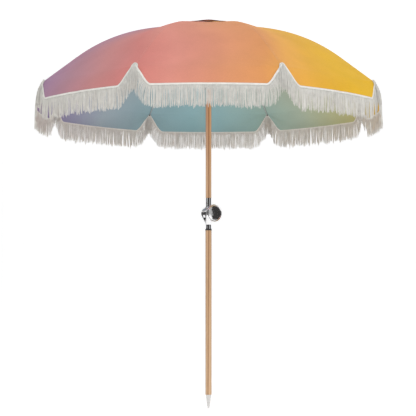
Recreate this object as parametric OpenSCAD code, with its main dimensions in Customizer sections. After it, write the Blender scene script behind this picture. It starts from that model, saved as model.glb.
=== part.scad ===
// Beach umbrella: eight-panel canopy with valance and fringe, folding rib frame,
// tilting joint with clamp knob, two-piece wooden pole and ground spike.
// Frame: origin at the tip of the spike on the pole axis, +Z up, camera side -Y. Millimetres.

/* [Canopy] */
// Radius from the pole axis to a rib tip
tip_radius = 900; // [700:10:1100]
// Height of the rib tips above the spike's point
tip_height = 1649; // [1500:1:1800]
// Slope of the crown, degrees
crown_slope = 9.5; // [5:0.5:15]
// Slope of the canopy at the hem, degrees
hem_slope = 38; // [30:1:50]
// Radius of the bend between crown and hem
bend_radius = 920; // [700:10:1200]
// Radius of the vent hole in the main canopy
vent_radius = 130; // [80:5:180]
// Radius of the vent cap at its corners
cap_radius = 215; // [150:5:260]
// Thickness of the cloth solids
cloth = 0.7; // [0.4:0.1:1.5]
// Thickness of the solids that stand for the fringe
fringe_solid = 1; // [0.6:0.1:3]
// Drop of the valance below the rib tips
valance_drop = 98; // [60:1:120]
// Length of the fringe with its header tape
fringe_length = 100; // [60:1:130]
// How far the fringe leans out near a rib tip
fringe_splay = 26; // [0:1:40]

/* [Frame] */
// Rib wire radius
rib_r = 2.2; // [1.5:0.1:4]
// Rib centreline below the cloth
rib_gap = 4; // [3:0.5:8]
// Radius of the ribs' pivots in the hub
pivot_radius = 26; // [22:1:32]
// Radius on the rib where the stretcher is pinned
stretcher_radius = 430; // [350:10:500]
// Stretcher length between pivots
stretcher_length = 450; // [400:10:500]
// Radius of the stretchers' pivots at the runner
runner_pivot = 24; // [22:1:28]

/* [Pole] */
// Radius of the lower pole
lower_r = 16; // [13:0.5:20]
// Radius of the upper pole
upper_r = 15; // [12:0.5:19]
// Height of the top of the ground spike
spike_top = 73.6; // [50:1:300]
// Height of the top of the lower wood
lower_top = 931; // [700:1:1100]
// Height of the tilt pivot
tilt_z = 1013; // [800:1:1200]
// Top of the chrome socket
socket_top = 1094; // [1050:1:1200]
// Direction of the tilt pivot and knob in plan, degrees from +X
knob_turn = -55; // [-90:1:0]

/* [Hidden] */
$fn = 64;
panels = 8;
half = 180 / panels;
c_x = 305.5 - bend_radius * sin(crown_slope);
c_z = 1971.9 - bend_radius * cos(crown_slope);
// Cloth height above a rib at radius r
function cloth_z(r) =
    r < c_x + bend_radius * sin(crown_slope)
    ? c_z + bend_radius * cos(crown_slope)
      + (c_x + bend_radius * sin(crown_slope) - r) * tan(crown_slope)
    : r < c_x + bend_radius * sin(hem_slope)
    ? c_z + sqrt(bend_radius * bend_radius - (r - c_x) * (r - c_x))
    : tip_height + (tip_radius - r) * tan(hem_slope);
arc_r = bend_radius - rib_gap;
a_x = c_x + arc_r * sin(crown_slope);
a_z = c_z + arc_r * cos(crown_slope);
b_x = c_x + arc_r * sin(hem_slope);
b_z = c_z + arc_r * cos(hem_slope);
pivot_z = a_z + (a_x - pivot_radius) * tan(crown_slope);
end_x = tip_radius - rib_gap * sin(hem_slope);
end_z = tip_height - rib_gap * cos(hem_slope);
s_ang = asin((stretcher_radius - c_x) / arc_r);
s_drop = 8;
s_x = stretcher_radius - s_drop * sin(s_ang);
s_z = c_z + (arc_r - s_drop) * cos(s_ang);
run_z = s_z - sqrt(pow(stretcher_length, 2) - pow(s_x - runner_pivot, 2));
chord_r = tip_radius * cos(half);
chord_half = tip_radius * sin(half);
flare = 0.63;
pin_r = 1.5;
pin_gap = 0.05;

// Turns a rib-frame piece (rib along +X) to rib i of 8
module at_rib(i) { rotate([0, 0, -67.5 + 2 * half * (i - 1)]) children(); }
// A rod between two points of the radial plane
module rod(x0, z0, x1, z1, r) {
    len = sqrt(pow(x1 - x0, 2) + pow(z1 - z0, 2));
    translate([x0, 0, z0]) rotate([0, atan2(x1 - x0, z1 - z0), 0]) cylinder(r = r, h = len, $fn = 24);
}
// A disc whose axis is along Y
module ydisc(x, z, r, w, fn = 40) {
    translate([x, w / 2, z]) rotate([90, 0, 0]) cylinder(r = r, h = w, $fn = fn);
}
// A disc whose axis is along X, from x0 to x1 at the tilt pivot
module xdisc(x0, x1, r) {
    translate([x0, 0, tilt_z]) rotate([0, 90, 0]) cylinder(r = r, h = x1 - x0);
}

// --- pole ---
rings = 5;
module ground_spike() {
    // ribbed taper with a driving point and a tenon up in the wood
    pitch = (spike_top - 8) / rings;
    steps = [for (k = [0 : rings - 1]) let (z = 8 + k * pitch, r = 7.2 + k * 1.75)
             each [[r - 1.4, z], [r - 0.2, z + pitch - 4.2], [r + 1.5, z + pitch - 3.2], [r + 1.5, z + pitch - 0.8]]];
    color("white") rotate_extrude()
        polygon(concat([[0, 0], [1.2, 0], [5.4, 7]], steps,
            [[lower_r - 0.2, spike_top - 0.6], [lower_r - 0.2, spike_top], [10, spike_top],
             [10, spike_top + 36], [0, spike_top + 36]]));
}
module lower_pole() {
    color("BurlyWood") rotate_extrude()
        polygon([[10.05, spike_top + 0.05], [lower_r, spike_top + 0.05], [lower_r, lower_top - 6],
                 [15, lower_top - 6], [15, lower_top], [11.07, lower_top], [11.07, 810],
                 [0, 810], [0, spike_top + 36.3], [10.05, spike_top + 36.3]]);
}
module pole_ring() {
    color("dimgray") rotate_extrude()
        polygon([[15.04, lower_top - 5.9], [17, lower_top - 5.9], [17.4, lower_top - 5.4],
                 [17.4, lower_top - 0.7], [17, lower_top - 0.2], [15.04, lower_top - 0.2]]);
}

// --- tilt joint, built with the knob along +X ---
module turned() { rotate([0, 0, knob_turn]) children(); }
module tilt_lower_socket() {
    color("silver") turned() {
        difference() {
            union() {
                translate([0, 0, 815]) cylinder(r1 = 9.5, r2 = 11, h = 3);
                translate([0, 0, 818]) cylinder(r = 11, h = lower_top - 818 + 1);
                translate([0, 0, lower_top + 0.1]) cylinder(r = 15, h = 40);
                translate([0, 0, lower_top + 0.1]) cylinder(r = 16.4, h = 5);
                hull() {
                    xdisc(-22, 22, 31);
                    translate([0, 0, 955]) cylinder(r = 15, h = 3);
                }
            }
            translate([-8.9, -40, tilt_z - 31.5]) cube([17.8, 80, 90]);
            xdisc(-30, 30, 4.05);
        }
    }
}
module tilt_bolt() {
    color("silver") turned() {
        xdisc(-24, 49, 4);
        translate([-30, 0, tilt_z]) rotate([0, 90, 0]) rotate_extrude()
            polygon([[0, 0], [3.5, 0.4], [6, 2], [7.4, 4.4], [7.4, 6.4], [0, 6.4]]);
    }
}
module tilt_washers() {
    color("dimgray") turned() for (x = [-23.5, 22.1]) difference() {
        xdisc(x, x + 1.4, 10);
        xdisc(x - 1, x + 3, 4.05);
    }
}
module tilt_knob() {
    color("silver") turned() translate([0, 0, tilt_z]) rotate([0, 90, 0]) rotate_extrude($fn = 96)
        polygon([[4.06, 23.6], [13, 23.6], [14, 24.6], [15, 36], [20, 40.5], [42, 42], [45, 43.5],
                 [46, 46], [46, 53], [45.2, 55.6], [43.6, 56.8], [42, 56], [41.2, 53.4],
                 [39, 52.2], [4.06, 52.2]]);
}
module knob_cover() {
    color("gainsboro") turned() translate([0, 0, tilt_z]) rotate([0, 90, 0]) rotate_extrude($fn = 96)
        polygon([[0, 52.4], [38.8, 52.4], [40.4, 53.8], [38, 55.4], [28, 57.2], [15, 58.5], [0, 59]]);
}
module tilt_upper_socket() {
    color("silver") turned() difference() {
        union() {
            intersection() {
                hull() {
                    xdisc(-8.7, 8.7, 30.5);
                    translate([-8.7, -14.5, tilt_z + 31]) cube([17.4, 29, 3]);
                }
                translate([-9, -40, tilt_z - 40]) cube([18, 80, 73]);
            }
            translate([0, 0, tilt_z + 31.6]) cylinder(r = 16.4, h = 5);
            translate([0, 0, tilt_z + 31.6]) cylinder(r = 15.4, h = socket_top - tilt_z - 31.6);
        }
        xdisc(-30, 30, 4.05);
        translate([0, 0, tilt_z + 42]) cylinder(r = 13.6, h = 100);
    }
}
module upper_pole() {
    color("BurlyWood") rotate_extrude()
        polygon([[0, tilt_z + 43], [13.56, tilt_z + 43], [13.56, socket_top + 0.1],
                 [upper_r, socket_top + 0.1], [upper_r, pivot_z - 2], [0, pivot_z - 2]]);
}

// --- crown ---
module hub() {
    color("dimgray") difference() {
        union() {
            translate([0, 0, pivot_z - 16]) cylinder(r = 33, h = 24);
            translate([0, 0, pivot_z - 34]) cylinder(r = 18.5, h = 20);
        }
        translate([0, 0, pivot_z - 40]) cylinder(r = upper_r + 0.04, h = 38.1);
        translate([0, 0, pivot_z - 3]) cylinder(r = 4.05, h = 20, $fn = 32);
        for (i = [1 : 8]) at_rib(i) {
            translate([20, -2.6, pivot_z - 40]) cube([30, 5.2, 44.8]);
            translate([pivot_radius, 6.2, pivot_z]) rotate([90, 0, 0])
                cylinder(r = pin_r + pin_gap, h = 12.4, $fn = 24);
        }
    }
}
module hub_pins() {
    color("silver") for (i = [1 : 8]) at_rib(i) ydisc(pivot_radius, pivot_z, pin_r, 12, 24);
}
// Cap height over a rib-equivalent radius r
function cap_z(r) = min(2024.2, 2029.8 - 0.184 * r);
module vent_cap() {
    rows = [6, 34, 90, 150, cap_radius];
    // four steps per panel; s runs 0 at a rib to 1 half way to the next
    cols = 32;
    function cp(k) = let (p = floor(k / 4), f = (k % 4) / 4,
        a = -67.5 + 45 * p, u = [cos(a), sin(a)], v = [cos(a + 45), sin(a + 45)])
        u * (1 - f) + v * f;
    function bow(k, r) = 7 * sin(180 * (k % 4) / 4) * pow(r / cap_radius, 2);
    n = len(rows);
    pts = [for (t = [0, 1]) for (j = [0 : n - 1]) for (k = [0 : cols - 1])
           let (r = rows[j], q = cp(k)) [q.x * r, q.y * r, cap_z(r) + bow(k, r) + (t - 0.5) * cloth]];
    function id(t, j, k) = (t * n + j) * cols + k % cols;
    faces = concat(
        [for (j = [0 : n - 2]) for (k = [0 : cols - 1]) each
            [[id(0, j, k), id(0, j, k + 1), id(0, j + 1, k + 1)], [id(0, j, k), id(0, j + 1, k + 1), id(0, j + 1, k)]]],
        [for (j = [0 : n - 2]) for (k = [0 : cols - 1]) each
            [[id(1, j, k), id(1, j + 1, k + 1), id(1, j, k + 1)], [id(1, j, k), id(1, j + 1, k), id(1, j + 1, k + 1)]]],
        [for (k = [0 : cols - 1]) each
            [[id(0, 0, k), id(1, 0, k), id(1, 0, k + 1)], [id(0, 0, k), id(1, 0, k + 1), id(0, 0, k + 1)]]],
        [for (k = [0 : cols - 1]) each
            [[id(0, n - 1, k), id(0, n - 1, k + 1), id(1, n - 1, k + 1)],
             [id(0, n - 1, k), id(1, n - 1, k + 1), id(1, n - 1, k)]]]);
    color("sienna") polyhedron(pts, faces);
}
module finial() {
    color("dimgray") translate([0, 0, pivot_z - 1.5]) rotate_extrude()
        polygon([[0, 0], [4, 0], [4, 11.8], [22, 11.8], [22.6, 13.2], [20, 15.4], [12, 16.9], [0, 17.4]]);
}

// --- runner ---
module runner() {
    color("dimgray") difference() {
        union() {
            translate([0, 0, run_z - 64]) cylinder(r = 19, h = 72);
            translate([0, 0, run_z - 64]) cylinder(r = 24, h = 4);
            translate([0, 0, run_z - 5.5]) cylinder(r = 29.5, h = 12.5);
            translate([0, 0, run_z - 38]) rotate([90, 0, 0]) cylinder(r = 7.5, h = 22.5, $fn = 40);
        }
        translate([0, 0, run_z - 70]) cylinder(r = upper_r + 0.08, h = 90);
        for (i = [1 : 8]) at_rib(i) translate([20.2, -4.9, run_z - 10]) cube([20, 9.8, 30]);
        translate([0, 0, run_z - 38]) rotate([90, 0, 0]) cylinder(r = 4.55, h = 40, $fn = 40);
    }
}
module runner_button() {
    color("black") translate([0, -18.3, run_z - 38]) rotate([90, 0, 0]) rotate_extrude($fn = 40)
        polygon([[0, 0], [4.5, 0], [4.5, 6.6], [3.8, 7.4], [0, 7.8]]);
}

// --- one rib, along +X ---
module rib() {
    color("silver") {
        difference() {
            union() {
                ydisc(pivot_radius, pivot_z, 4.2, 4.4);
                rod(pivot_radius + 2.6, pivot_z - 2.6 * tan(crown_slope),
                    a_x + 3 * cos(crown_slope), a_z - 3 * sin(crown_slope), rib_r + 0.3);
                translate([c_x, 0, c_z]) rotate([90, 0, 0]) rotate([0, 0, 90 - hem_slope])
                    rotate_extrude(angle = hem_slope - crown_slope, $fn = 96)
                        translate([arc_r, 0]) circle(r = rib_r, $fn = 24);
                rod(b_x - 3 * cos(hem_slope), b_z + 3 * sin(hem_slope), end_x, end_z, rib_r + 0.3);
                bracket();
            }
            ydisc(pivot_radius, pivot_z, pin_r + pin_gap, 10, 24);
        }
    }
    // tip ferrule
    color("black") translate([end_x, 0, end_z]) rotate([0, 90 + hem_slope, 0]) translate([0, 0, 0.2])
        rotate_extrude($fn = 32) polygon([[0, 0], [3.4, 0], [4.6, 2.4], [4.6, 6], [3, 8.4], [0, 9]]);
}
module bracket() {
    on_x = stretcher_radius;
    on_z = c_z + arc_r * cos(s_ang);
    difference() {
        hull() {
            ydisc(on_x, on_z, 2.8, 8, 32);
            ydisc(s_x, s_z, 4.4, 8, 32);
        }
        translate([s_x, 0, s_z]) rotate([0, s_ang, 0]) translate([-20, -2.5, -20]) cube([40, 5, 24.6]);
    }
    ydisc(s_x, s_z, pin_r, 8, 24);
}
module stretcher() {
    dx = (runner_pivot - s_x) / stretcher_length;
    dz = (run_z - s_z) / stretcher_length;
    color("silver") {
        difference() {
            union() {
                ydisc(s_x, s_z, 4, 4.4, 32);
                rod(s_x + 3 * dx, s_z + 3 * dz, runner_pivot - 2.6 * dx, run_z - 2.6 * dz, 1.9);
                ydisc(runner_pivot, run_z, 3.4, 4.4, 32);
                ydisc(runner_pivot, run_z, pin_r, 8.6, 24);
            }
            ydisc(s_x, s_z, pin_r + pin_gap, 10, 24);
        }
    }
}

// --- cloth on one rib, along +X ---
// Half-gore between rows of the given rib radii; side is +1 or -1
module gore(rows) {
    n = len(rows);
    k = [cos(half) * cos(half), cos(half) * sin(half)];
    g = 0.2;
    // across: -1 mid-panel, 0 rib, 1 mid-panel
    function at(r, s) = s == 0 ? [r, 0] : [r * k.x, s * (r * k.y - g)];
    pts = [for (t = [0, 1]) for (r = rows) for (s = [-1, 0, 1])
           let (q = at(r, s)) [q.x, q.y, cloth_z(r) + (t - 0.5) * cloth]];
    function id(t, j, s) = (t * n + j) * 3 + s;
    faces = concat(
        [for (j = [0 : n - 2]) for (s = [0, 1]) [id(0, j, s), id(0, j, s + 1), id(0, j + 1, s + 1), id(0, j + 1, s)]],
        [for (j = [0 : n - 2]) for (s = [0, 1]) [id(1, j, s), id(1, j + 1, s), id(1, j + 1, s + 1), id(1, j, s + 1)]],
        [for (j = [0 : n - 2]) [id(0, j, 0), id(0, j + 1, 0), id(1, j + 1, 0), id(1, j, 0)]],
        [for (j = [0 : n - 2]) [id(0, j, 2), id(1, j, 2), id(1, j + 1, 2), id(0, j + 1, 2)]],
        [for (s = [0, 1]) [id(0, 0, s), id(1, 0, s), id(1, 0, s + 1), id(0, 0, s + 1)]],
        [for (s = [0, 1]) [id(0, n - 1, s), id(0, n - 1, s + 1), id(1, n - 1, s + 1), id(1, n - 1, s)]]);
    polyhedron(pts, faces);
}
module panel() {
    arc = [for (k = [0 : 8]) c_x + bend_radius * sin(crown_slope + (hem_slope - crown_slope) * k / 8)];
    gore(concat([vent_radius], arc, [tip_radius - 2.4]));
}
// Valance depth at a distance u along the hem from the rib tip
corner = 78;
function drop(u) = u >= corner ? valance_drop : valance_drop * pow(sin(90 * u / corner), 1.3);
steps_u = [9, 15, 24, 36, 50, 64, corner, 120, 190, 260, chord_half - 0.3];
// A point on the flared hem plane of one side: u along the hem, d down
function hem(side, u, d, out = 0) =
    [tip_radius - u * sin(half) + (d * flare + out) * cos(half),
     side * (u * cos(half) + (d * flare + out) * sin(half)), tip_height - d];
// A closed strip through two rows of points, thickened by w along the side's normal
module strip(side, top, bottom, w) {
    n = len(top);
    o = [cos(half), side * sin(half), 0] * w / 2;
    pts = concat([for (p = top) p - o], [for (p = bottom) p - o], [for (p = top) p + o], [for (p = bottom) p + o]);
    function f(q) = side > 0 ? q : [for (k = [len(q) - 1 : -1 : 0]) q[k]];
    faces = concat(
        [for (k = [0 : n - 2]) each [f([k, k + 1, n + k + 1]), f([k, n + k + 1, n + k])]],
        [for (k = [0 : n - 2]) each
            [f([2 * n + k, 3 * n + k + 1, 2 * n + k + 1]), f([2 * n + k, 3 * n + k, 3 * n + k + 1])]],
        [for (k = [0 : n - 2]) f([k, 2 * n + k, 2 * n + k + 1, k + 1])],
        [for (k = [0 : n - 2]) f([n + k, n + k + 1, 3 * n + k + 1, 3 * n + k])],
        [f([0, n, 3 * n, 2 * n]), f([n - 1, 3 * n - 1, 4 * n - 1, 2 * n - 1])]);
    polyhedron(pts, faces);
}
module valance() {
    for (side = [-1, 1])
        strip(side, [for (u = steps_u) hem(side, u, 0.6)], [for (u = steps_u) hem(side, u, drop(u))], cloth);
}
module fringe() {
    for (side = [-1, 1])
        strip(side,
            [for (u = steps_u) hem(side, u, drop(u) + 0.8, 0.3)],
            [for (u = steps_u) let (p = hem(side, u, drop(u) + 0.8, 0.3), s = max(0, 1 - u / 70) * fringe_splay,
                                    m = norm([p.x, p.y]))
                [p.x * (1 + s / m), p.y * (1 + s / m), p.z - fringe_length]], fringe_solid);
}

ground_spike();
lower_pole();
pole_ring();
tilt_lower_socket();
tilt_bolt();
tilt_washers();
tilt_knob();
knob_cover();
tilt_upper_socket();
upper_pole();
hub();
hub_pins();
vent_cap();
finial();
runner();
runner_button();
for (i = [1 : 8]) {
    at_rib(i) rib();
    at_rib(i) stretcher();
    color("lightsalmon") at_rib(i) panel();
    color("sandybrown") at_rib(i) valance();
    color("ivory") at_rib(i) fringe();
}
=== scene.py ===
import math

import bmesh
import bpy
import numpy as np
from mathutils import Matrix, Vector


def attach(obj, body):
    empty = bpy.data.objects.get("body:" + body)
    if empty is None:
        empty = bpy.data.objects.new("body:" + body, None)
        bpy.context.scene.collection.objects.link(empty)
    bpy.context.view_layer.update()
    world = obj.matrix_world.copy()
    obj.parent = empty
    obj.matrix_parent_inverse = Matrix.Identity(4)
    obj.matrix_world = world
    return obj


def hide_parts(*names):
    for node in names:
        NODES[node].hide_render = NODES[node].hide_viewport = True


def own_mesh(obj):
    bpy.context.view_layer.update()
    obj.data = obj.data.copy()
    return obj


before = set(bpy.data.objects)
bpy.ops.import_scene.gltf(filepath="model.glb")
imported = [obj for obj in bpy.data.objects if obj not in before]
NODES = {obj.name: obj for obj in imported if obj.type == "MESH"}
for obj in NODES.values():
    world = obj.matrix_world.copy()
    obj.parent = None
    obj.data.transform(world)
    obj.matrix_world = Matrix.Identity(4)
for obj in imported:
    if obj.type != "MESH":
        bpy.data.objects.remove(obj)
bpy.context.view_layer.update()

MM = 0.001
RIBS = range(1, 9)
HALF = math.radians(22.5)  # half the angle between two ribs
CH, SH = math.cos(HALF), math.sin(HALF)

# The canopy's shape, as in part.scad, in millimetres and radians.
TIP_R, TIP_Z = 900.0, 1649.0  # a rib's tip
CROWN, HEM = math.radians(9.5), math.radians(38.0)  # the cloth's slope at the crown and at the hem
BEND = 920.0  # radius of the ribs' curve
C_X = 305.5 - BEND * math.sin(CROWN)  # its centre
C_Z = 1971.9 - BEND * math.cos(CROWN)
A_X, B_X = C_X + BEND * math.sin(CROWN), C_X + BEND * math.sin(HEM)  # where the curve starts and ends
VENT_R, CAP_R = 130.0, 215.0
CHORD = TIP_R * SH  # half the straight distance between two rib tips
CLOTH = 0.9  # thickness
SAG = 9.0  # how far the cloth hangs below the ribs in the middle of a panel

# The hanging edge and its fringe, in millimetres.
DROP, CORNER = 98.0, 78.0  # its height, and how far from a rib tip it reaches that height
CORNER_FLARE = 0.45  # share of the outward lean that is left at a rib tip
FLARE_REACH = 240.0  # how far from the tip the full lean is reached
TAPE_UP, TAPE_DOWN, TAPE_THICK = 10.0, 6.0, 1.3  # the header tape, above and below the cloth's edge
FRINGE = 99.0  # from the cloth's edge to the strands' ends
STRANDS_FROM = 1.0  # the strands start this far above the cloth's edge
STRAND_PITCH = 1.62  # between strands along the rim
FOLD_STRANDS = 12  # strands over each half of the fold at a rib tip
FOLD_TOP, FOLD_HEIGHT, FOLD_WIDTH = -16.0, 30.0, 17.0  # from the crease, its height, half its width

FERRULE = 9.6  # how far the ferrule reaches along the rib's radius
TILT_Z, KNOB_TURN = 1013.0, math.radians(-55)  # the tilt pivot's height, and its direction seen from above


# ---------------------------------------------------------------- scene
def camera():
    data = bpy.data.cameras.new("camera")
    data.sensor_width, data.lens = 36.0, 36.0 * 1337.0 / 416.0
    data.clip_end = 200
    cam = link(data, "camera")
    cam.location = (-0.0026, -6.975, 0.5895)
    cam.rotation_euler = (math.radians(90 + 3.714), 0, 0)
    bpy.context.scene.camera = cam


def area_light(name, at, aim, size, watts):
    data = bpy.data.lights.new(name, "AREA")
    data.energy, data.size = watts, size
    o = link(data, name)
    o.location = at
    o.rotation_euler = (Vector(aim) - Vector(at)).to_track_quat("-Z", "Y").to_euler()


def studio():
    world = bpy.data.worlds.new("studio")
    bpy.context.scene.world = world
    world.use_nodes = True
    background = world.node_tree.nodes["Background"].inputs
    background["Color"].default_value = (1, 1, 1, 1)
    background["Strength"].default_value = 0.50
    area_light("key", (2.6, -5.2, 4.8), (0, 0, 1.5), 3.0, 140)
    area_light("fill", (-4.6, -3.6, 2.8), (0, 0, 1.2), 3.0, 44)
    area_light("top", (0.4, 0.6, 5.2), (0, 0, 1.6), 3.5, 34)
    bpy.context.scene.view_settings.view_transform = "Standard"
    floor()
    flag("front", (-3.3, -2.6), (1.6, -2.6))
    flag("right", (3.0, -1.75), (3.0, 1.4))
    flag("left", (-3.0, -1.6), (-3.0, 1.4))


def floor():
    """A pale floor that curves up into a backdrop well behind the umbrella."""
    wall, bend, gap = 9.0, 5.0, 0.0012
    run = [(-30.0, 0.0), (wall, 0.0)]
    for a in np.linspace(0.1, math.pi / 2, 14):
        run.append((wall + bend * math.sin(a), bend - bend * math.cos(a)))
    run.append((wall + bend, 30.0))
    verts = [(x, y, z - gap) for y, z in run for x in (-40.0, 40.0)]
    faces = [(2 * k, 2 * k + 1, 2 * k + 3, 2 * k + 2) for k in range(len(run) - 1)]
    m = Mat("floor", Base_Color=(0.86, 0.86, 0.86, 1), Roughness=0.9,
            Emission_Color=(1, 1, 1, 1), Emission_Strength=0.42)
    link(raw_mesh("floor", verts, faces, m.m), "floor")


def flag(name, a, b):
    """A dark studio flag from a to b on the floor, seen only in reflections: it gives chrome its edges."""
    low, high = 0.05, 2.7
    verts = [(*a, low), (*b, low), (*b, high), (*a, high)]
    m = Mat("flag", Base_Color=(0.02, 0.018, 0.018, 1))
    o = link(raw_mesh("flag", verts, [(0, 1, 2, 3)], m.m), f"flag_{name}")
    o.visible_camera = o.visible_diffuse = o.visible_shadow = o.visible_transmission = False


# ---------------------------------------------------------------- materials
class Mat:
    """A small helper that builds a node material."""

    def __init__(self, name, **sockets):
        self.m = bpy.data.materials.new(name)
        self.m.use_nodes = True
        self.t = self.m.node_tree
        self.b = self.t.nodes["Principled BSDF"]
        for k, v in sockets.items():
            self.b.inputs[k.replace("_", " ")].default_value = v

    def node(self, kind, inputs=None, **props):
        n = self.t.nodes.new(kind)
        for k, v in props.items():
            setattr(n, k, v)
        for k, v in (inputs or {}).items():
            if isinstance(v, bpy.types.NodeSocket):
                self.t.links.new(v, n.inputs[k])
            else:
                n.inputs[k].default_value = v
        return n

    def math(self, op, *v, clamp=False):
        return self.node("ShaderNodeMath", dict(enumerate(v)), operation=op, use_clamp=clamp).outputs[0]

    def mix(self, fac, a, b, mode="MIX"):
        n = self.node("ShaderNodeMix", data_type="RGBA", blend_type=mode)
        for k, v in ((0, fac), (6, a), (7, b)):
            if isinstance(v, bpy.types.NodeSocket):
                self.t.links.new(v, n.inputs[k])
            else:
                n.inputs[k].default_value = v
        return n.outputs[2]

    def noise(self, at, scale, detail=3.0, rough=0.5):
        inputs = {"Vector": at, "Scale": scale, "Detail": detail, "Roughness": rough}
        return self.node("ShaderNodeTexNoise", inputs).outputs[0]

    def object_at(self):
        return self.node("ShaderNodeTexCoord").outputs["Object"]

    def stretched(self, at, scale):
        return self.node("ShaderNodeMapping", {"Vector": at, "Scale": scale}).outputs[0]

    def cloth_at(self):
        """The cloth map's two directions, in metres: away from the seam and along it."""
        uv = self.node("ShaderNodeUVMap", uv_map="cloth").outputs[0]
        return self.node("ShaderNodeSeparateXYZ", {0: uv}).outputs[:2]

    def wave(self, length_along, pitch):
        return self.math("SINE", self.math("MULTIPLY", length_along, 2 * math.pi / pitch))

    def toned(self, colour, tone):
        """colour made darker or lighter by tone, a grey value."""
        grey = self.node("ShaderNodeCombineColor", {0: tone, 1: tone, 2: tone}).outputs[0]
        return self.mix(1.0, colour, grey, "MULTIPLY")

    def remap(self, v, a, b, c, d):
        return self.node("ShaderNodeMapRange", {0: v, 1: a, 2: b, 3: c, 4: d}).outputs[0]

    def to(self, socket, value):
        self.t.links.new(value, self.b.inputs[socket])

    def bump(self, height, strength, distance):
        n = self.node("ShaderNodeBump", {"Height": height, "Strength": strength, "Distance": distance})
        self.to("Normal", n.outputs[0])


def srgb(r, g, b):
    return tuple((c / 255 / 12.92 if c <= 10 else ((c / 255 + 0.055) / 1.055) ** 2.4) for c in (r, g, b))


def cloth_material():
    """Cotton canvas: the mesh's colour attribute has the dye, with painted shade at the vent cap's edge;
    weave, slubs, seam stitching and painted shade along the seam's edges are here.
    """
    m = Mat("dyed_canvas", Roughness=0.86, Sheen_Weight=0.04, Sheen_Roughness=0.5, Specular_IOR_Level=0.15)
    dye = m.node("ShaderNodeAttribute", attribute_name="dye").outputs[0]
    across, along = m.cloth_at()
    at = m.object_at()
    # dye takes unevenly, in clouds and along the threads
    cloud = m.remap(m.noise(at, 7.0, 4.0), 0.3, 0.7, 0.96, 1.03)
    fine = m.remap(m.noise(at, 160.0, 3.0, 0.7), 0.25, 0.75, 0.95, 1.04)
    thread_pitch = 0.0016
    weave = m.math("MULTIPLY", m.wave(across, thread_pitch), m.wave(along, thread_pitch))
    threads = m.remap(weave, -1.0, 1.0, 0.965, 1.02)
    tone = m.math("MULTIPLY", m.math("MULTIPLY", cloud, fine), threads)
    # flat-felled seam over the rib: two stitched lines
    off = m.math("ABSOLUTE", across)
    seam = m.remap(off, 0.0050, 0.0058, 1.0, 0.0)
    line = m.remap(m.math("ABSOLUTE", m.math("SUBTRACT", off, 0.0040)), 0.0003, 0.0006, 1.0, 0.0)
    dash = m.remap(m.wave(along, 0.0045), -0.35, -0.15, 0.0, 1.0)
    stitch = m.math("MULTIPLY", line, dash)
    # painted shade: a darker line where the raised seam's edge drops to the cloth
    dark = m.remap(m.math("ABSOLUTE", m.math("SUBTRACT", off, 0.0056)), 0.0002, 0.0009, 0.80, 1.0)
    colour = m.toned(dye, m.math("MULTIPLY", tone, dark))
    thread = m.mix(0.55, dye, (0.85, 0.80, 0.72, 1))
    m.to("Base Color", m.mix(m.math("MULTIPLY", stitch, 0.6), colour, thread))
    height = m.math("ADD", m.math("MULTIPLY", weave, 0.10), m.math("MULTIPLY", seam, 0.8))
    height = m.math("ADD", height, m.math("MULTIPLY", stitch, 0.5))
    height = m.math("ADD", height, m.math("MULTIPLY", m.noise(at, 26.0, 3.0), 1.6))
    m.bump(height, 0.55, 0.0010)
    return m.m


def cotton_material():
    """Undyed twisted cotton."""
    m = Mat("fringe_cotton", Roughness=0.9, Sheen_Weight=0.08, Sheen_Roughness=0.5, Specular_IOR_Level=0.2)
    at = m.object_at()
    # the shade attribute: each piece's own tone, and painted shade towards each strand's top
    shade = m.node("ShaderNodeAttribute", attribute_name="shade").outputs[2]
    tone = m.math("MULTIPLY", m.remap(m.noise(at, 55.0, 3.0), 0.3, 0.7, 0.92, 1.04), shade)
    m.to("Base Color", m.toned((*srgb(229, 227, 221), 1), tone))
    twist = m.wave(m.math("ADD", *m.cloth_at()), 0.0022)
    m.bump(m.math("ADD", twist, m.math("MULTIPLY", m.noise(at, 400.0, 2.0), 1.5)), 0.5, 0.0004)
    return m.m


def wood_material():
    """Pale wood under varnish, its grain along the pole."""
    m = Mat("pale_wood", Coat_Weight=0.25, Coat_Roughness=0.25)
    at = m.object_at()
    fibre = m.stretched(at, (34.0, 34.0, 1.1))
    grain = m.noise(fibre, 1.6, 6.0, 0.62)
    bands = {"Vector": fibre, "Scale": 0.55, "Distortion": 3.5, "Detail": 3.0, "Detail Scale": 0.7}
    rings = m.node("ShaderNodeTexWave", bands, wave_type="BANDS", bands_direction="X").outputs[1]
    broad = m.noise(m.stretched(at, (3.0, 3.0, 0.35)), 1.3, 3.0)
    pores = m.noise(m.stretched(at, (900.0, 900.0, 26.0)), 1.0, 2.0, 0.7)
    figure = m.math("ADD", m.math("MULTIPLY", grain, 0.6), m.math("MULTIPLY", rings, 0.4))
    ramp = m.node("ShaderNodeValToRGB", {0: figure})
    stops = ramp.color_ramp.elements
    stops[0].position, stops[0].color = 0.22, (*srgb(158, 118, 82), 1)
    stops[1].position, stops[1].color = 0.78, (*srgb(222, 188, 150), 1)
    stops.new(0.5).color = (*srgb(198, 160, 122), 1)
    tone = m.math("MULTIPLY", m.remap(broad, 0.3, 0.7, 0.9, 1.08), m.remap(pores, 0.3, 0.45, 0.86, 1.0))
    m.to("Base Color", m.toned(ramp.outputs[0], tone))
    m.to("Roughness", m.remap(grain, 0.3, 0.7, 0.36, 0.5))
    m.bump(m.math("ADD", m.math("MULTIPLY", pores, 0.6), grain), 0.25, 0.0006)
    return m.m


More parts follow.
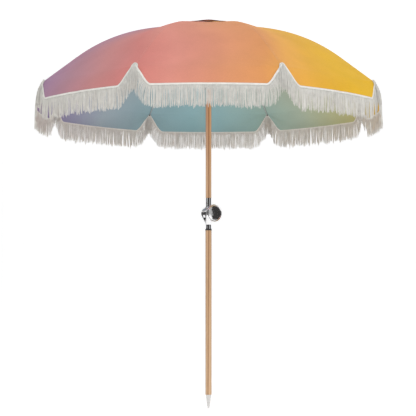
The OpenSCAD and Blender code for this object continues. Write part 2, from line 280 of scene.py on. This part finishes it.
def metal_material(name, colour, low, high, bump, scale):
    """Metal whose roughness runs from low to high in smears."""
    m = Mat(name, Metallic=1.0)
    at = m.object_at()
    spots = m.noise(at, scale, 4.0, 0.6)
    smear = m.noise(m.stretched(at, (18.0, 18.0, 90.0)), 1.0, 4.0, 0.6)
    worn = m.math("MULTIPLY", spots, m.math("ADD", smear, 0.5))
    m.to("Roughness", m.remap(worn, 0.3, 0.7, low, high))
    dull = tuple(c * 0.86 for c in colour)
    m.to("Base Color", m.mix(m.remap(spots, 0.35, 0.65, 0.0, 0.5), (*colour, 1), (*dull, 1)))
    m.bump(spots, bump, 0.0004)
    return m.m


def plastic_material(name, colour, rough, grain=900.0, bump=0.2, scuff=0.06):
    m = Mat(name)
    at = m.object_at()
    tex = m.noise(at, grain, 2.0, 0.6)
    wear = m.noise(at, 30.0, 4.0, 0.65)
    light = tuple(min(1.0, c + scuff) for c in colour)
    m.to("Base Color", m.mix(m.remap(wear, 0.45, 0.75, 0.0, 0.6), (*colour, 1), (*light, 1)))
    m.to("Roughness", m.remap(wear, 0.3, 0.7, rough - 0.06, rough + 0.1))
    m.bump(tex, bump, 0.0003)
    return m.m


# ---------------------------------------------------------------- mesh tools
def link(data, name):
    o = bpy.data.objects.new(name, data)
    bpy.context.scene.collection.objects.link(o)
    return o


def belong(o, body, node):
    """o rides body and stands for the CAD node."""
    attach(o, body)
    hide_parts(node)


def raw_mesh(name, verts, faces, material, uv=None, colours=None, colour_name="dye"):
    """A mesh from arrays. uv and colours are per vertex."""
    mesh = bpy.data.meshes.new(name)
    mesh.from_pydata(np.asarray(verts, float).tolist(), [], faces)
    mesh.shade_smooth()
    if uv is not None:
        layer = mesh.uv_layers.new(name="cloth")
        index = np.zeros(len(mesh.loops), np.int32)
        mesh.loops.foreach_get("vertex_index", index)
        layer.data.foreach_set("uv", np.asarray(uv, np.float32)[index].ravel())
    if colours is not None:
        a = mesh.color_attributes.new(colour_name, "FLOAT_COLOR", "POINT")
        c = np.ones((len(verts), 4), np.float32)
        c[:, :3] = colours
        a.data.foreach_set("color", c.ravel())
    mesh.materials.append(material)
    return mesh


def shell(name, P, N, thick, uv, colours, material, colour_name="dye"):
    """A closed thin shell from a grid of points P (m, n, 3) with normals N, in metres."""
    m, n = P.shape[:2]
    top, low = (P + N * thick / 2).reshape(-1, 3), (P - N * thick / 2).reshape(-1, 3)
    verts = np.concatenate([top, low])
    k = m * n
    faces, rim = [], []
    for i in range(m - 1):
        for j in range(n - 1):
            a, b, c, d = i * n + j, i * n + j + 1, (i + 1) * n + j + 1, (i + 1) * n + j
            faces += [(a, b, c, d), (k + a, k + d, k + c, k + b)]
    loop = [(0, j) for j in range(n - 1)] + [(i, n - 1) for i in range(m - 1)]
    loop += [(m - 1, j) for j in range(n - 1, 0, -1)] + [(i, 0) for i in range(m - 1, 0, -1)]
    ids = [i * n + j for i, j in loop]
    for a, b in zip(ids, ids[1:] + ids[:1]):
        faces.append((b, a, k + a, k + b))
        rim += [(a, b), (k + a, k + b)]
    across = np.cross(P[1, 1] - P[0, 0], P[1, 0] - P[0, 1])
    if across @ N[0, 0] <= 0:  # turn the faces to point along N
        faces = [f[::-1] for f in faces]
    uv = np.concatenate([uv.reshape(-1, 2)] * 2)
    colours = np.concatenate([colours.reshape(-1, 3)] * 2)
    mesh = raw_mesh(name, verts, faces, material, uv, colours, colour_name)
    wanted = {frozenset(e) for e in rim}
    sharp = mesh.attributes.new("sharp_edge", "BOOLEAN", "EDGE")
    sharp.data.foreach_set("value", [frozenset(e.vertices) in wanted for e in mesh.edges])
    return link(mesh, name)


def unit(v):
    return v / np.maximum(np.linalg.norm(v, axis=-1, keepdims=True), 1e-12)


def facing_up(N):
    return np.where(N[..., 2:] < 0, -N, N)


def facing_out(N, P, up=0.0):
    """Normals turned away from the pole, or upwards where up is large."""
    outward = N[..., 0] * P[..., 0] + N[..., 1] * P[..., 1] + N[..., 2] * up
    return np.where(outward[..., None] < 0, -N, N)


def grid_normals(P):
    """Unit normals of a grid of points."""
    return unit(np.cross(np.gradient(P, axis=0), np.gradient(P, axis=1)))


def revolve(name, profile, material, on_pivot=False, steps=96, smooth=35):
    """A lathe-turned solid, upright or along the tilt pivot. profile is (radius, height) in millimetres."""
    verts, faces, rings = [], [], []
    for r, h in profile:
        if r < 1e-6:
            rings.append([len(verts)])
            verts.append((0, 0, h))
        else:
            rings.append(list(range(len(verts), len(verts) + steps)))
            verts += [(r * math.cos(t), r * math.sin(t), h) for t in np.arange(steps) * 2 * math.pi / steps]
    for a, b in zip(rings, rings[1:]):
        for k in range(steps):
            q = (k + 1) % steps
            if len(a) == 1:
                faces.append((a[0], b[q], b[k]))
            elif len(b) == 1:
                faces.append((a[k], a[q], b[0]))
            else:
                faces.append((a[k], a[q], b[q], b[k]))
    v = np.array(verts, float)
    if on_pivot:
        v = v[:, [2, 1, 0]] * [1, -1, 1]
        c, s = math.cos(KNOB_TURN), math.sin(KNOB_TURN)
        v = np.stack([v[:, 0] * c - v[:, 1] * s, v[:, 0] * s + v[:, 1] * c, v[:, 2] + TILT_Z], 1)
    mesh = raw_mesh(name, v * MM, faces, material)
    mesh.set_sharp_from_angle(angle=math.radians(smooth))
    b = bmesh.new()
    b.from_mesh(mesh)
    bmesh.ops.recalc_face_normals(b, faces=b.faces)
    b.to_mesh(mesh)
    b.free()
    return link(mesh, name)


def rounded(points, radius, steps=3):
    """A profile with every corner between its ends rounded."""
    out = [points[0]]
    for p, q, s in zip(points, points[1:], points[2:]):
        p, q, s = (np.array(x, float) for x in (p, q, s))
        a, b = p - q, s - q
        la, lb = np.linalg.norm(a), np.linalg.norm(b)
        r = min(radius, la * 0.45, lb * 0.45)
        start, end = q + a / la * r, q + b / lb * r
        for t in np.linspace(0, 1, steps + 1):
            out.append(tuple((1 - t) ** 2 * start + 2 * t * (1 - t) * q + t * t * end))
    return out + [points[-1]]


# ---------------------------------------------------------------- the cloth's shape
def share(t):
    return np.clip(t, 0, 1)


def ease(t):
    """0 to 1 as t goes from 0 to 1, with level ends."""
    t = share(t)
    return t * t * (3 - 2 * t)


def cloth_z(r):
    """The cloth's height over a rib, at r from the pole."""
    crown = C_Z + BEND * math.cos(CROWN) + (A_X - r) * math.tan(CROWN)
    arc = C_Z + np.sqrt(np.maximum(BEND**2 - (r - C_X) ** 2, 0))
    hem = TIP_Z + (TIP_R - r) * math.tan(HEM)
    return np.where(r < A_X, crown, np.where(r < B_X, arc, hem))


def tip_wrinkle(along, up, i, side):
    """Creases that fan out from rib tip i: along the hem, and up the canopy (down is negative), in mm."""
    seed = 1.7 * i + np.where(side > 0, 0.9, 2.3)
    d = np.hypot(along, up) / 55.0
    ang = np.arctan2(up, np.maximum(along, 1e-6))
    return d * np.exp(1 - d) * (1.9 * np.sin(7.0 * ang + seed) + 1.1 * np.sin(12.0 * ang + 2.1 * seed))


def swell(x, y):
    """A soft unevenness of stretched cloth, the same for two pieces that meet."""
    broad = np.sin(x / 83.0 + 1.3 * np.sin(y / 140.0)) * np.sin(y / 97.0 + 0.7)
    return broad + 0.6 * np.sin((x + y) / 51.0) * np.sin((x - 1.7 * y) / 67.0)


# The dye runs round the canopy: (degrees to the right of the front, colour at the hem)
DYE = [
    (-180, (136, 172, 178)), (-157, (138, 164, 172)), (-135, (150, 164, 174)), (-112, (146, 142, 172)),
    (-90, (146, 128, 164)), (-67, (158, 128, 160)), (-56, (176, 132, 146)), (-44, (196, 134, 134)),
    (-30, (208, 128, 122)), (-18, (218, 144, 130)), (-8, (216, 144, 120)), (4, (220, 150, 108)),
    (16, (218, 150, 94)), (28, (230, 168, 80)), (44, (226, 172, 56)), (60, (226, 178, 44)),
    (90, (222, 180, 56)), (112, (182, 180, 128)), (135, (162, 176, 158)), (157, (146, 174, 168)),
    (180, (136, 172, 178)),
]
ROSE, ROSE_SHARE = np.array(srgb(192, 126, 118)), 0.36  # mixed in towards the crown
# painted shade: the dark red-brown that the vent cap's edge shows in shade
CAP_EDGE_SHADE = np.array(srgb(158, 74, 56))


def dye_at(P, out):
    """Linear colour of the cloth at points P; out is their distance along the ribs. Both in mm."""
    deg = np.degrees(np.arctan2(P[..., 0], -P[..., 1]))
    deg = deg + 7.0 * np.sin(out / 160.0 + deg / 25.0)
    deg = (deg + 180) % 360 - 180
    table = np.array([srgb(*colour) for _, colour in DYE])
    at = [degrees for degrees, _ in DYE]
    c = np.stack([np.interp(deg, at, table[:, k]) for k in range(3)], -1)
    t = share(1 - out / TIP_R)[..., None] ** 1.1 * ROSE_SHARE
    return c * (1 - t) + ROSE * t


def turn(P, i):
    """Points or directions given for a rib along +X, turned to rib i."""
    a = math.radians(-67.5 + 45 * (i - 1))
    c, s = math.cos(a), math.sin(a)
    out = P.copy()
    out[..., 0], out[..., 1] = P[..., 0] * c - P[..., 1] * s, P[..., 0] * s + P[..., 1] * c
    return out


def gather(o, i, along=(0.0, 1.0, 0.0), at=(0.0, 0.0, TIP_Z)):
    """o gets its own copy of its mesh."""
    axis = turn(np.array(along), i).tolist()
    anchor = (turn(np.array(at), i) * MM).tolist()
    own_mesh(o)


def sector(i, r, t, z):
    """Points over rib i's eighth of the canopy: t is -1 and 1 in the middle of the panels beside it."""
    return turn(np.stack([r * (1 - np.abs(t) * SH * SH), t * r * CH * SH, z], -1), i)


def gore(i, mat):
    """Canopy cloth centred on rib i, from the middle of one panel to the middle of the next."""
    rows = np.concatenate([np.linspace(VENT_R, 700, 44), np.linspace(712, TIP_R + 0.5, 22)])

    def place(r, t):
        beside = np.abs(t)
        hill = np.sin(np.pi / 2 * np.clip(beside, 0, 2)) ** 2
        sag = -SAG * hill * np.sin(np.pi * share((r - VENT_R) / (TIP_R - VENT_R))) ** 0.8
        p = sector(i, r, t, cloth_z(r))
        along = beside * r * SH
        wrinkle = tip_wrinkle(along, np.maximum((TIP_R - r) / math.cos(HEM), 0), i, t)
        wrinkle = wrinkle * share(along / 18.0) * share((1 - beside) * 3)
        fade = ease((TIP_R - r) / 60.0)  # nothing is left at the crease, where the valance begins
        p[..., 2] += sag + fade * (wrinkle + 1.5 * hill * swell(p[..., 0], p[..., 1]))
        return p

    R, S = np.meshgrid(rows, np.linspace(-1, 1, 41), indexing="ij")
    P = place(R, S)
    # normals by differences across the piece's edge, so that two pieces shade alike where they meet
    dr, ds = 1.0, 0.01
    N = facing_up(unit(np.cross(place(R + dr, S) - place(R - dr, S), place(R, S + ds) - place(R, S - ds))))
    mean_slope = 0.4
    uv = np.stack([S * R * SH, R / math.cos(mean_slope)], -1) * MM
    o = shell(f"canopy_{i}", P * MM, N, CLOTH * MM, uv, dye_at(P, R), mat)
    belong(o, f"rib_arm_{i}", f"panel_{i}")
    gather(o, i)


def cap_gore(i, mat):
    """The vent cap's cloth over rib i."""
    rows = np.array([5.5, 14, 24, 34, 46, 60, 76, 92, 110, 128, 146, 164, 180, 195, 206, CAP_R])

    def place(r, t):
        z = np.minimum(2024.2 - 0.25 * np.exp(-((r - 30) / 12.0) ** 2), 2029.8 - 0.184 * r)
        return sector(i, r, t, z + 7.0 * np.sin(np.pi / 2 * np.abs(t)) ** 2 * (r / CAP_R) ** 2)

    R, S = np.meshgrid(rows, np.linspace(-1, 1, 25), indexing="ij")
    P = place(R, S)
    dr, ds = 0.5, 0.01
    N = facing_up(unit(np.cross(place(R + dr, S) - place(R - dr, S), place(R, S + ds) - place(R, S - ds))))
    uv = np.stack([S * R * SH, R], -1) * MM
    # the cap's outer 12 mm turn dark red-brown: painted shade along its edge
    painted_edge_shade = share((R - (CAP_R - 12)) / 3.0)[..., None]
    colour = dye_at(P, R * 0.6) * (1 - painted_edge_shade) + CAP_EDGE_SHADE * painted_edge_shade
    o = shell(f"cap_{i}", P * MM, N, CLOTH * MM, uv, colour, mat)
    belong(o, f"rib_arm_{i}", "vent_cap")
    gather(o, i)


# ---------------------------------------------------------------- the hanging edge
def drop(u):
    """The edge's height at u along the hem from a rib tip."""
    return DROP * np.sin(math.pi / 2 * share(u / CORNER)) ** 1.3


def flare(d):
    """How far the edge leans out at d below the crease."""
    return 1.12 * d - 0.0051 * d * d


def hem_place(side, u, d, i, lean=0.0):
    """A point on the hanging edge: u along the hem from tip i, d below the crease, lean further out."""
    to_middle = CHORD - u
    wave = 3.2 * np.clip(d / DROP, 0, 1.2) ** 1.5 * np.sin(to_middle / 38.0 + 1.0)
    wave = wave * share(u / 60.0) * share(to_middle / 40.0)
    out = flare(d) * (CORNER_FLARE + (1 - CORNER_FLARE) * ease(u / FLARE_REACH))
    out = out + lean + wave + tip_wrinkle(u, -d, i, side) * share(d / 25.0) * 0.8
    # round the corner, the cloth leans along the rib, so that the two sides meet there
    face = HALF * ease(u / 30.0)
    x = TIP_R - u * SH + out * np.cos(face)
    y = side * (u * CH + out * np.sin(face))
    return turn(np.stack([x, y, TIP_Z - d + np.zeros_like(u)], -1), i)


def half_name(i, side):
    return f"{i}_{'l' if side < 0 else 'r'}"


def gather_edge(o, i, side):
    """Calls gather for a piece of the hanging edge, with the direction along the hem from its rib tip."""
    gather(o, i, along=(-SH, side * CH, 0.0), at=(TIP_R, 0.0, TIP_Z))


def valance(i, side, mat):
    """The cloth of the hanging edge on one side of rib tip i."""
    near_tip = np.concatenate([np.linspace(0.5, 10, 8), np.linspace(13, CORNER, 14)])
    u = np.concatenate([near_tip, np.linspace(CORNER + 7, CHORD, 38)])
    U, V = np.meshgrid(u, np.linspace(0, 1, 15), indexing="ij")
    D = V * drop(U)
    P = hem_place(side, U, D, i)
    e = 0.5
    du = hem_place(side, U + e, D, i) - hem_place(side, U - e, D, i)
    dd = hem_place(side, U, D + e, i) - hem_place(side, U, D - e, i)
    N = facing_out(unit(np.cross(du, dd)), P)
    uv = np.stack([U + 20, TIP_R + D], -1) * MM
    dye = dye_at(P, np.full(U.shape, TIP_R))
    o = shell(f"valance_{half_name(i, side)}", P * MM, N, CLOTH * MM, uv, dye, mat)
    belong(o, f"hem_{i}", f"valance_{i}")
    gather_edge(o, i, side)


def edge_frame(side, u, i):
    """The edge's lower rim at u: point, direction along it, direction out of the cloth, direction down."""
    e, first = 0.4, 0.2
    p = hem_place(side, u, drop(u), i)
    ahead = hem_place(side, u + e, drop(u + e), i)
    before = np.maximum(u - e, first)
    t = unit(ahead - hem_place(side, before, drop(before), i))
    n = unit(hem_place(side, u, drop(u), i, 1.0) - p)
    down = unit(np.cross(t, n))
    return p, t, n, -facing_up(down)


def tape(i, side, mat):
    """The fringe's woven header, sewn over the lower edge and following its corner."""
    near_tip = np.concatenate([np.linspace(0.6, 12, 12), np.linspace(14, CORNER, 14)])
    u = np.concatenate([near_tip, np.linspace(CORNER + 5, CHORD, 50)])
    h = np.array([-TAPE_UP, -9.2, -8.0, -6.4, -4.6, -3.0, -1.6, 0.0, 3.0, TAPE_DOWN])
    p, t, n, down = edge_frame(side, u, i)
    bead = 0.9 * np.sin(math.pi * share((h + TAPE_UP) / (TAPE_UP - STRANDS_FROM)))  # looped header
    P = p[:, None] + down[:, None] * h[None, :, None] + n[:, None] * (1.4 + bead)[None, :, None]
    U, H = np.meshgrid(u, h, indexing="ij")
    shade = np.ones(P.shape) * 1.03
    N = facing_out(grid_normals(P), P)
    uv = np.stack([U, H], -1) * MM
    o = shell(f"fringe_tape_{half_name(i, side)}", P * MM, N, TAPE_THICK * MM, uv, shade, mat, "shade")
    belong(o, f"hem_{i}", f"fringe_{i}")
    gather_edge(o, i, side)
    return o


def fold_point(i, a, b, lift=0.0):
    """A point on the fringe's fold over rib tip i: a across, -1 to 1, and b down, 0 to 1."""
    rise = share(1 - b / 0.5)
    half = FOLD_WIDTH * (1 - rise**2.4) ** 0.5 * (1 + 0.1 * share(b / 0.5 - 1))
    d = FOLD_TOP + FOLD_HEIGHT * b
    left, right = (hem_place(side, np.abs(a) * half, d, i, 2.3 + lift) for side in (-1, 1))
    return np.where((a < 0)[..., None], left, right)


def fold(i, mat):
    """The header folded over the rib tip."""
    A, B = np.meshgrid(np.linspace(-1, 1, 17), np.linspace(0.01, 1, 16), indexing="ij")
    P = fold_point(i, A, B)
    P[..., 2] += 0.3 + 0.5 * (1 - B)
    N = facing_out(grid_normals(P), P, up=400)
    uv = np.stack([A * 15, B * 44], -1) * MM
    o = shell(f"fringe_corner_{i}", P * MM, N, TAPE_THICK * MM, uv, np.ones(P.shape), mat, "shade")
    belong(o, f"hem_{i}", f"fringe_{i}")
    gather(o, i)
    return o


class Yarn:
    """Collects cotton strands into one mesh. A strand is a thin tube that tapers at its cut end."""

    SIDES = 4

    def __init__(self, rng):
        self.rng = rng
        self.verts, self.faces, self.shade, self.uvs = [], [], [], []

    def spin(self, path, t, n):
        rings, sides, base = len(path), self.SIDES, len(self.verts)
        taper = np.concatenate([[0.85], np.linspace(1, 0.92, rings - 2), [0.6]])
        radius = self.rng.uniform(1.05, 1.4) * taper
        tone = float(np.clip(self.rng.normal(0.98, 0.045), 0.84, 1.06))
        phase = self.rng.uniform(0, math.pi)
        for s in range(rings):
            for g in range(sides):
                ang = phase + 2 * math.pi * g / sides
                self.verts.append(path[s] + radius[s] * (math.cos(ang) * t + math.sin(ang) * n))
                # painted shade: darker towards the strand's top, under the tape; tone is the strand's own
                self.shade.append(tone * (0.93 + 0.07 * s / rings))
                self.uvs.append((g * 0.0008, s * 0.1 / rings))
        for s in range(rings - 1):
            for g in range(sides):
                a, b = base + s * sides + g, base + s * sides + (g + 1) % sides
                self.faces.append((a, b, b + sides, a + sides))
        self.faces.append(tuple(base + g for g in range(sides))[::-1])
        self.faces.append(tuple(base + (rings - 1) * sides + g for g in range(sides)))


def strand_places(i, side, rng):
    """Evenly spread along the curved rim: each strand's place along it, its u, and the rim's length."""
    fine = np.linspace(0.6, CHORD - 0.4, 700)
    p, t, n, down = edge_frame(side, fine, i)
    rim = p + down * TAPE_DOWN
    length = np.concatenate([[0], np.cumsum(np.linalg.norm(np.diff(rim, axis=0), axis=1))])
    count = int(length[-1] / STRAND_PITCH)
    at = (np.arange(count) + 0.5) / count * length[-1] + rng.normal(0, 0.2, count)
    return at, np.interp(at, length, fine), length[-1]


def clumps(at, rim_length, rng):
    """Uneven clumps: how far each strand is drawn along the rim, made longer and leant out by its clump."""
    middles, place = [], 0.0
    while place < rim_length + 12:
        middles.append(place)
        place += rng.uniform(6.0, 13.0)
    middles = np.array(middles)
    own = np.abs(at[:, None] - middles[None]).argmin(1)
    pull = rng.uniform(0.1, 0.55, len(middles))
    longer = rng.normal(0, 4.5, len(middles))
    lean = rng.normal(0, 3.0, len(middles))
    return (middles[own] - at) * pull[own], longer[own], lean[own]


GRAVITY = np.array([0.0, 0.0, -1.0])
# How a strand hangs from the fold: out, down and across, in mm.
FOLD_HANG = np.array([[8.0, 16.0, 1.0], [15.0, 42.0, 2.0], [19.0, 72.0, 4.0], [21.0, 98.0, 5.0]])


def edge_strands(i, side, yarn, rng):
    """The strands along the edge, in two staggered rows sewn flat over the tape."""
    at, u, rim_length = strand_places(i, side, rng)
    drawn, longer, leant = clumps(at, rim_length, rng)
    p, t, n, down = edge_frame(side, u, i)
    for j in range(len(at)):
        long = FRINGE - TAPE_DOWN + longer[j] + rng.normal(0, 3.0)
        proud = n[j] * ((2.5 if j % 2 else 3.4) + rng.normal(0, 0.3))
        root = p[j] + down[j] * (TAPE_DOWN - 1) + proud
        sideways = drawn[j] + rng.normal(0, 0.6)
        lean = leant[j] + rng.normal(0, 0.8)
        bend = rng.normal(0, 1.6)
        path = [p[j] - down[j] * (STRANDS_FROM + rng.normal(0, 0.7)) + proud * 0.8]
        for s in np.linspace(0, 1, 6):
            # leaves along the tape's own direction, then hangs
            fan = 0.22 + 0.38 * share(1 - s * 1.1)
            q = root + s * long * (down[j] * fan + GRAVITY * (1 - fan))
            q = q + t[j] * (sideways * s**1.3 + bend * math.sin(math.pi * s)) + n[j] * lean * s
            path.append(q)
        yarn.spin(np.array(path), t[j], n[j])
    return np.cross(t[0], n[0]) @ down[0] < 0


def fold_strands(i, side, yarn, rng):
    """More strands lie over the fold at the rib tip and hang from it."""
    out, across = turn(np.array([[1.0, 0.0, 0.0], [0.0, 1.0, 0.0]]), i)
    for j in range(FOLD_STRANDS):
        a = side * (j + rng.uniform(0.2, 0.8)) / FOLD_STRANDS
        lift = 1.4 + 1.3 * (j % 2)
        over = fold_point(i, np.full(4, a), np.linspace(rng.uniform(0.10, 0.5), 1.0, 4), lift)
        reach = FOLD_HANG[:, :1] * rng.uniform(0.85, 1.2)
        fall = FOLD_HANG[:, 1:2] * rng.uniform(0.94, 1.06)
        spread = FOLD_HANG[:, 2:] * a * rng.uniform(0.2, 2.2)
        hang = over[-1] + out * reach + across * spread + GRAVITY * fall
        yarn.spin(np.concatenate([over, hang]), across * side, out)


def strands(i, side, mat):
    """The fringe's cotton strands on one side of rib tip i."""
    rng = np.random.default_rng(100 + 10 * i + (5 if side > 0 else 0))
    yarn = Yarn(rng)
    inside_out = edge_strands(i, side, yarn, rng)
    fold_strands(i, side, yarn, rng)
    faces = [f[::-1] for f in yarn.faces] if inside_out else yarn.faces
    shade = np.array(yarn.shade)[:, None] * np.ones(3)
    name = f"fringe_{half_name(i, side)}"
    mesh = raw_mesh(name, np.array(yarn.verts) * MM, faces, mat, np.array(yarn.uvs), shade, "shade")
    o = link(mesh, name)
    belong(o, f"hem_{i}", f"fringe_{i}")
    gather_edge(o, i, side)
    return o


# ---------------------------------------------------------------- hard parts
def paint(name, material):
    o = NODES[name]
    o.data.materials.clear()
    o.data.materials.append(material)
    o.data.shade_smooth()
    o.data.set_sharp_from_angle(angle=math.radians(32))
    return o


def painted_parts(chrome, steel, dark, white):
    """The CAD nodes that are seen as they are."""
    for name, material in {
        "pole_ring": dark, "tilt_lower_socket": chrome, "tilt_bolt": chrome, "tilt_washers": dark,
        "tilt_upper_socket": chrome, "hub": dark, "hub_pins": steel, "finial": dark,
        "runner": dark, "runner_button": white,
    }.items():
        paint(name, material)
    for i in RIBS:
        paint(f"stretcher_{i}", steel)
        rib = paint(f"rib_{i}", steel)
        # the ferrule on the rib's end is dark plastic
        rib.data.materials.append(dark)
        start = max(math.hypot(v.co.x, v.co.y) for v in rib.data.vertices) - FERRULE * MM
        for f in rib.data.polygons:
            f.material_index = int(math.hypot(f.center.x, f.center.y) > start)


def poles(wood):
    """The two halves of the pole, with the spike's tenon, the spigot and the sockets' ends let in."""
    tenon_top, spigot_low, low_top = 110.2, 811, 931
    low = [(0, tenon_top), (10.05, tenon_top), (10.05, 73.7), (16, 73.7), (16, 925), (15, 925),
           (15, low_top), (11.07, low_top), (11.07, spigot_low), (0, spigot_low)]
    belong(revolve("lower_wood", rounded(low, 0.6), wood), "lower_pole", "lower_pole")
    low_end, shoulder, top = 1056.2, 1094.2, 2012.5
    high = [(0, low_end), (13.5, low_end), (13.5, shoulder), (15, shoulder), (15, top), (0, top)]
    belong(revolve("upper_wood", rounded(high, 0.8), wood), "tilt_head", "upper_pole")


def spike(white):
    """The ground spike: a stack of soft ridges on a taper, with its tenon above."""
    profile = [(0, 0), (1.0, 0.2), (3.2, 3.4), (5.4, 7.4)]
    ridges, first, last = 5, 8.0, 73.6
    pitch = (last - first) / ridges
    for k in range(ridges):
        z, r = first + k * pitch, 7.2 + k * 1.75
        top = z + pitch
        profile += [(r - 2.2, z + 0.6), (r - 1.6, z + pitch * 0.3), (r - 0.9, top - 5.0)]
        profile += [(r + 0.9, top - 4.0), (r + 1.5, top - 3.0), (r + 1.5, top - 1.4), (r + 0.9, top - 0.7)]
    profile += [(15.8, 72.6), (15.8, 73.5), (10, last), (10, 109), (0, 109)]
    o = revolve("spike", rounded(profile, 0.7, 2), white, smooth=50)
    belong(o, "lower_pole", "ground_spike")


def clamp_knob(chrome):
    """A turned rim with a rolled edge, and the domed face inside it."""
    bore, back, seat = 4.1, 23.7, 52.3
    rim = [(bore, back), (13, back), (14, 24.6), (14.6, 30), (15.4, 36), (20, 40.3), (30, 41.3),
           (42, 42), (45, 43.6), (46, 46), (46, 49.5), (46, 53), (45.2, 55.6), (43.6, 56.8),
           (42, 56), (41.2, 53.4), (39, seat), (bore, seat), (bore, back)]
    face = [(0, 52.5), (38.8, 52.5), (40.3, 53.8), (38.6, 55.0), (36, 55.7), (28, 57.2),
            (15, 58.5), (6, 58.9), (0, 59)]
    body = revolve("knob_body", rounded(rim, 1.0, 4), chrome, on_pivot=True, steps=128, smooth=50)
    belong(body, "knob", "tilt_knob")
    cover = revolve("knob_face", rounded(face, 1.2, 4), chrome, on_pivot=True, steps=128, smooth=60)
    belong(cover, "knob", "knob_cover")


# ---------------------------------------------------------------- the umbrella
camera()
studio()
canvas, cotton, wood = cloth_material(), cotton_material(), wood_material()
chrome = metal_material("chrome", (0.86, 0.86, 0.87), 0.05, 0.16, 0.02, 40.0)
steel = metal_material("zinc_wire", (0.52, 0.53, 0.54), 0.28, 0.46, 0.08, 120.0)
dark = plastic_material("dark_plastic", (0.022, 0.022, 0.024), 0.45)
white = plastic_material("white_plastic", (0.70, 0.70, 0.69), 0.32, 500.0, 0.12, 0.04)
painted_parts(chrome, steel, dark, white)
poles(wood)
spike(white)
clamp_knob(chrome)
for i in RIBS:
    gore(i, canvas)
    cap_gore(i, canvas)
    for side in (-1, 1):
        sewn_on = [tape(i, side, cotton), strands(i, side, cotton)]
        if side > 0:
            sewn_on.append(fold(i, cotton))
        valance(i, side, canvas)
